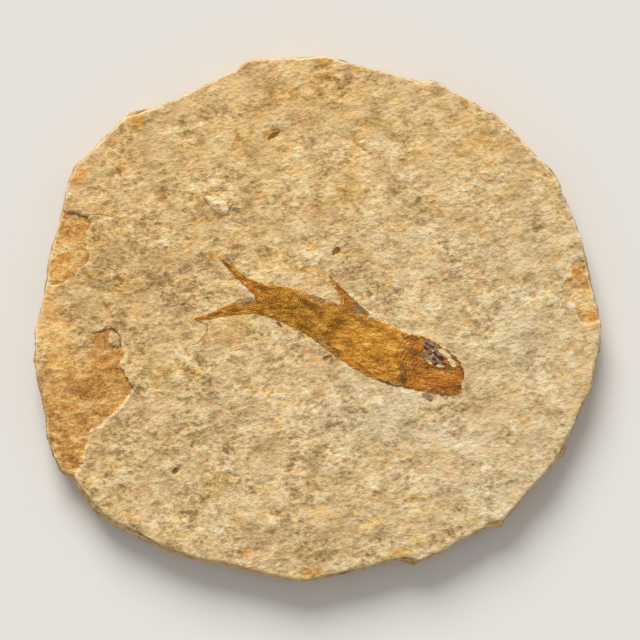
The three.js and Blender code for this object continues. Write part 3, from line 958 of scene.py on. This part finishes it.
# Spots of the film: greyish purple, black like the eye, dark, worn to bare stone, redder or golden.
FISH_MARKS = {
    "purple": [
        (27.6, -7.3, 2.3, 1, -36, 0.03), (27, -9.5, 1.5, 0.8, -15, -0.02),
        (29.3, -9.2, 1.2, 0.6, -30, 0), (29.7, -11, 1.9, 1.1, -35, -0.03), (27.6, -9.9, 2, 0.9, -10, 0),
        (10.4, 1.7, 2, 0.8, -46, 0), (17.7, -16.7, 3.4, 0.85, -17, -0.02),
        (27, -18.9, 1.6, 0.5, -10, 0), (0.6, 4.6, 4.8, 0.9, -19, 0), (5.4, 3.2, 2, 0.5, -24, 0),
        (1.4, -6.3, 2.4, 0.5, -36, 0), (-17.6, 3.6, 2.2, 0.7, 12, 0), (9.3, 1.2, 1.9, 0.5, -30, 0),
    ],
    "eye": [
        (30.3, -10.3, 0.95, 0.6, -30, -0.12), (29, -11.6, 0.8, 0.45, 30, -0.08),
        (30.9, -11.6, 0.8, 0.35, -12, -0.05), (28.6, -10.5, 0.6, 0.35, -20, -0.06),
        (26.6, -7.9, 0.7, 0.35, -50, 0), (28.3, -7.5, 0.6, 0.3, -20, 0),
        (28.9, -9.3, 0.8, 0.35, -60, 0), (27.6, -9.3, 0.5, 0.3, 10, 0),
        (27.1, -6.9, 1.1, 0.3, -30, -0.04),
    ],
    # The long thin dark spots along the lower edge of the belly are partly painted shade below the raised
    # body.
    "dark": [
        (23.4, -5.3, 1.6, 0.35, -12, 0.02), (10.6, 1.7, 1.8, 0.5, -46, 0),
        (20.9, -13.9, 1, 2.7, 8, -0.03), (23.4, -8.6, 1.6, 0.9, -20, 0),
        (13.9, -10.4, 1.6, 0.5, -40, -0.02), (5.8, -1.4, 2.4, 0.7, -18, 0),
        (11.6, -1.7, 2.2, 0.7, -25, 0), (16.4, -16.2, 2.4, 0.45, -20, 0),
        (27.9, -8.3, 1.7, 0.6, -40, 0), (11.4, -12.9, 3, 0.4, -36, 0), (3.4, -7.4, 2.2, 0.4, -40, 0),
        (5.2, -8.8, 0.9, 0.5, 0, 0), (13.6, -0.8, 1.4, 0.5, -30, 0), (-6.4, 2.3, 2.1, 0.7, 8, -0.02),
        (-10.4, 2.2, 2, 0.6, 5, -0.02), (-13.4, 6.9, 2.4, 0.6, -8, 0), (-3.2, -2.6, 2.6, 0.5, -28, 0),
        (-1.6, 2.8, 3, 0.8, -22, 0), (-22.4, 12.9, 1.8, 0.5, -38, 0), (-25.3, 0.6, 2.2, 0.5, 12, 0),
        (-20.2, 1.5, 2.6, 0.5, 8, 0),
    ],
    "bare": [
        (31.2, -9.1, 2, 0.7, -38, -0.06), (32.9, -11.2, 1.5, 0.7, -52, -0.06),
        (27.4, -11.2, 0.9, 0.3, -35, 0), (29.9, -12.2, 0.8, 0.25, -10, 0),
        (26.6, -8.2, 0.9, 0.18, 35, 0), (28.4, -8.6, 0.7, 0.15, -40, 0),
        (-24.1, 14.2, 0.6, 0.4, -38, 0), (4.6, 6.9, 1.2, 0.14, -50, 0), (6.2, 3.4, 0.7, 0.18, 70, 0),
        (-11.4, 0.5, 0.5, 0.3, 0, 0.03), (-17.9, 8.3, 0.7, 0.12, -50, 0),
        (20.6, -8, 0.4, 0.25, 0, 0.02), (20.6, -5.2, 0.5, 0.2, 0, 0.02),
    ],
    "red": [
        (8.6, -11.6, 3.4, 0.8, -36, 0), (24.9, -7.2, 1, 1.3, -20, 0.03), (23.6, -6, 2, 0.7, -10, 0),
        (29.5, -15.4, 5, 1.8, -8, 0), (24.4, -16.6, 2.8, 1.4, -10, 0), (34.6, -14.4, 1.1, 2, 15, 0),
        (-16.4, 7.4, 2.6, 0.8, -40, 0), (7, 4.6, 4, 0.9, -50, 0), (-28.6, -0.5, 2, 0.5, 6, 0),
    ],
    "gold": [
        (10.9, -8.5, 1.1, 0.2, -62, 0.03), (12.2, -10, 0.9, 0.18, 50, 0.03),
        (12.9, -9.1, 0.7, 0.18, -50, 0.03), (13.5, -5.6, 5, 2.6, -20, 0), (3.5, 0.8, 3, 1.2, -25, 0),
        (17.6, -7.6, 3, 1.8, -20, 0), (0.5, -2, 3.2, 0.8, -30, 0), (9.5, -9.6, 2.4, 1, -35, 0),
        (31.8, -14, 3, 0.35, -6, 0), (28, -13.2, 1.8, 0.3, -10, 0), (29, -16.4, 2.4, 0.3, -4, 0),
        (-6, 3.8, 3, 0.6, -14, 0), (-19.6, 10.6, 2.4, 0.3, -38, 0),
    ],
}
rag = 0.26 * fish_waves(0.55, 121) + 0.16 * fish_waves(0.3, 122)
tones, tone_relief = spots(FISH_MARKS, fish_x, fish_y, rag)
# The edge of the skull and snout is a thin dark bone.
SNOUT = [
    (25.4, -5.1), (27.8, -5.9), (29.8, -7.0), (32.1, -8.3),
    (33.6, -9.8), (35.2, -12.0), (36.0, -14.0), (35.7, -15.3),
]
snout_gap = by_line(SNOUT, fish_x, fish_y)[0]
snout = ramp(np.abs(snout_gap) + 0.12 * rag, 0.42, 0.2)
tones["dark"] = np.maximum(tones["dark"], snout)
tones["bare"] = tones["bare"] * (1 - snout) * (1 - tones["eye"])
# The front edge of the fin is dark too.
FIN_EDGE = [(13.0, 0.2), (8.1, 4.8), (4.6, 8.3), (3.2, 9.7)]
fin_gap = by_line(FIN_EDGE, fish_x, fish_y)[0]
tones["dark"] = np.maximum(tones["dark"], 0.9 * ramp(np.abs(fin_gap) + 0.1 * rag, 0.5, 0.15))
# The mouth is a dark notch between the jaws.
MOUTH = [(35.9, -16.9), (34.2, -17.2), (32.0, -17.6), (29.6, -17.7)]
mouth_gap, mouth_along = by_line(MOUTH, fish_x, fish_y)
mouth = ramp(np.abs(mouth_gap), 0.30, 0.1) * ramp(mouth_along, 6.5, 3.0)
tones["dark"] = np.maximum(tones["dark"], mouth * 0.9)

gap = read(in_fish, fish_x, fish_y)
torn = 0.26 * fish_waves(1.2, 101) + 0.22 * fish_waves(0.5, 102) + 0.03
torn = gap + torn * (1 - 0.7 * blades) + 0.06 * blades
film = -0.30 + 0.35 * ramp(torn, -0.3, 0.1) + 0.08 * ramp(torn, 0.1, 1.0)
body = read(fish_lift, fish_x, fish_y)
bumps = 0.035 * lines + 0.030 * fish_waves(0.42, 103) + 0.035 * fish_waves(1.1, 104)
bumps += tone_relief + 0.09 * snout - 0.10 * mouth - 0.05 * tones["bare"]
fish_top = stone_top(fish_x, fish_y) + film + (0.6 * body + bumps) * ramp(gap, -0.15, 0.3)
fish_foot = stone_top(fish_x, fish_y) - 0.6
half = len(fish_x)
edges = np.concatenate([fish_triangles[:, [0, 1]], fish_triangles[:, [1, 2]], fish_triangles[:, [2, 0]]])
keys = np.sort(edges, 1) @ np.array([half, 1])
unique, where, times = np.unique(keys, return_index=True, return_counts=True)
border = edges[where[times == 1]]
walls = np.concatenate([
    np.stack([border[:, 1], border[:, 0], border[:, 0] + half], 1),
    np.stack([border[:, 1], border[:, 0] + half, border[:, 1] + half], 1),
])
fish_points = np.concatenate([
    np.stack([fish_x, fish_y, fish_top], 1),
    np.stack([fish_x, fish_y, fish_foot], 1),
])
fish_faces = np.concatenate([fish_triangles, fish_triangles[:, ::-1] + half, walls])
fish = mesh_object("fish", fish_points, fish_faces)
stored = {
    "lines": lines,
    "head": head,
    "torn": np.clip(torn, -1, 2),
    "eye": tones["eye"],
    "gold": tones["gold"],
}
for name, values in stored.items():
    store(fish, name, np.tile(values, 2))
store_four(fish, "tones", [np.tile(tones[kind], 2) for kind in ("purple", "dark", "bare", "red")])

fossil, shader, place = new_material("fossil")
shader.inputs["Specular IOR Level"].default_value = 0.25
streak = place.stretched(-28, 2.6).noise(0.65, 4.0, 0.68)
blotch = place.stretched(-25, 1.5, 0.3).noise(2.4, 3.0, 0.55)
grit = place.noise(0.32, 2.0, 0.65)
ridges = place.stored("lines")
shine = 0.545 + blotch.swing(0.65) + streak.swing(1.5) + grit.swing(1.1) + ridges * 0.13
shine = shine + place.stored("gold") * 0.11
FILM_SHADES = (
    (0.04, "#5a3910"), (0.26, "#855414"), (0.44, "#ab6f1a"),
    (0.60, "#c48422"), (0.78, "#da9f38"), (0.95, "#f3cf7a"),
)
colour = shine.shaded(FILM_SHADES)
HEAD_SHADES = (
    (0.05, "#45260a"), (0.27, "#683b0e"), (0.455, "#865012"),
    (0.615, "#9f6419"), (0.79, "#bc812c"), (0.97, "#e2b566"),
)
on_head = place.stored("head")
colour = colour.mixed(shine.shaded(HEAD_SHADES), on_head * 0.85)
fray = grit.swing(0.9) + streak.swing(0.6)
purple = place.add("ShaderNodeSeparateColor", Color=place.stored("tones", "Color"))
dark, worn, redder = purple.beside(1), purple.beside(2), place.stored("tones", "Alpha")
ORANGE_SHADES = ((0.1, "#7e4012"), (0.5, "#bd6d1f"), (0.9, "#e09a42"))
colour = colour.mixed(shine.shaded(ORANGE_SHADES), (redder + fray).between(0.2, 0.9) * 0.6)
PURPLE_SHADES = ((0.1, "#4b3a2b"), (0.45, "#7d654e"), (0.65, "#99806a"), (0.9, "#c2ac8e"))
purple_share = (purple + fray).between(0.1, 1.1) * (on_head * 0.25 + 0.64)
colour = colour.mixed(shine.shaded(PURPLE_SHADES), purple_share)
# Dark spots of the film; those along the belly are partly painted shade.
colour = colour.mixed(paint("#52340f"), (dark + fray).between(0.2, 1.05) * 0.52)
# It thins out towards its edge, where the stone shows through, and is gone at places.
BARE_SHADES = ((0.2, "#b9965f"), (0.5, "#d8bc87"), (0.8, "#e9d8ad"))
bare_stone = (shine * 1.7 - 0.3).shaded(BARE_SHADES)
bare = (worn + fray * 1.1).between(0.35, 0.75)
edge = place.stored("torn")
colour = colour.tinted((1.35, 1.36, 1.5), (edge + fray * 0.4).between(0.4, -0.05) * 0.6)
gone = (edge + fray * 0.3).between(0.08, -0.04)
colour = colour.mixed(bare_stone, bare.most(gone) * 0.9)
colour = colour.mixed(paint("#35251f"), (place.stored("eye") + fray).between(0.4, 0.75) * 0.9)
height = ridges * 0.14 + streak.swing(0.4) + grit.swing(0.35)
finish(shader, colour, 0.62 + blotch.swing(0.3), height, BUMP_DEPTH)
fish.data.materials.append(fossil)
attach(fish, "root")


# ---- The table, the light and the camera ----
# A pale table top that sweeps up, far off all round, into pale walls. The light is broad and soft
# and comes from beyond the top of the slab.
SWEEP_START = 18 * width
SWEEP_RISE = 5.2e-5  # the height at a place past the start, over its distance squared
FLOOR_REACH = 60 * width
SQUARES = 80
floor_lines = np.linspace(-FLOOR_REACH, FLOOR_REACH, SQUARES + 1)
floor_x, floor_y = (grid.ravel() for grid in np.meshgrid(floor_lines, floor_lines))
floor_z = SWEEP_RISE * np.maximum(np.hypot(floor_x, floor_y) - SWEEP_START, 0) ** 2
corner = (np.arange(SQUARES)[:, None] * (SQUARES + 1) + np.arange(SQUARES)).ravel()
after = corner + SQUARES + 1
floor_faces = np.stack([corner, corner + 1, after + 1, after], 1)
floor = mesh_object("floor", np.stack([floor_x, floor_y, floor_z], 1), floor_faces)
paper, shader, place = new_material("paper")
shader.inputs["Base Color"].default_value = (0.72, 0.71, 0.69, 1)
shader.inputs["Roughness"].default_value = 0.9
floor.data.materials.append(paper)

centre = Vector((0, 0, face * MM))
lamp_data = bpy.data.lights.new("lamp", "SUN")
lamp_data.angle = math.radians(34)
lamp_data.energy = 3.35
lamp_data.color = (1, 0.965, 0.91)
lamp = bpy.data.objects.new("lamp", lamp_data)
lamp.location = centre + Vector((-0.5, 2.0, 1.52))
lamp.rotation_euler = (centre - lamp.location).to_track_quat("-Z", "Y").to_euler()
bpy.context.scene.collection.objects.link(lamp)

world = bpy.data.worlds.new("walls")
world.use_nodes = True
world.node_tree.nodes["Background"].inputs["Color"].default_value = (1, 0.99, 0.97, 1)
world.node_tree.nodes["Background"].inputs["Strength"].default_value = 0.44
bpy.context.scene.world = world
bpy.context.scene.view_settings.view_transform = "Standard"

LENS = 200
SENSOR = 36
FRAME_WIDTH = 1.1227 * width * MM
ELEVATION = math.radians(86)
distance = FRAME_WIDTH * LENS / SENSOR
camera_data = bpy.data.cameras.new("camera")
camera_data.lens, camera_data.sensor_width = LENS, SENSOR
camera_data.clip_start = 0.01
camera = bpy.data.objects.new("camera", camera_data)
aim = centre + Vector((0.6, -0.85, 0)) * MM
camera.location = aim + distance * Vector((0, -math.cos(ELEVATION), math.sin(ELEVATION)))
camera.rotation_euler = (math.radians(90) - ELEVATION, 0, 0)
bpy.context.scene.collection.objects.link(camera)
bpy.context.scene.camera = camera
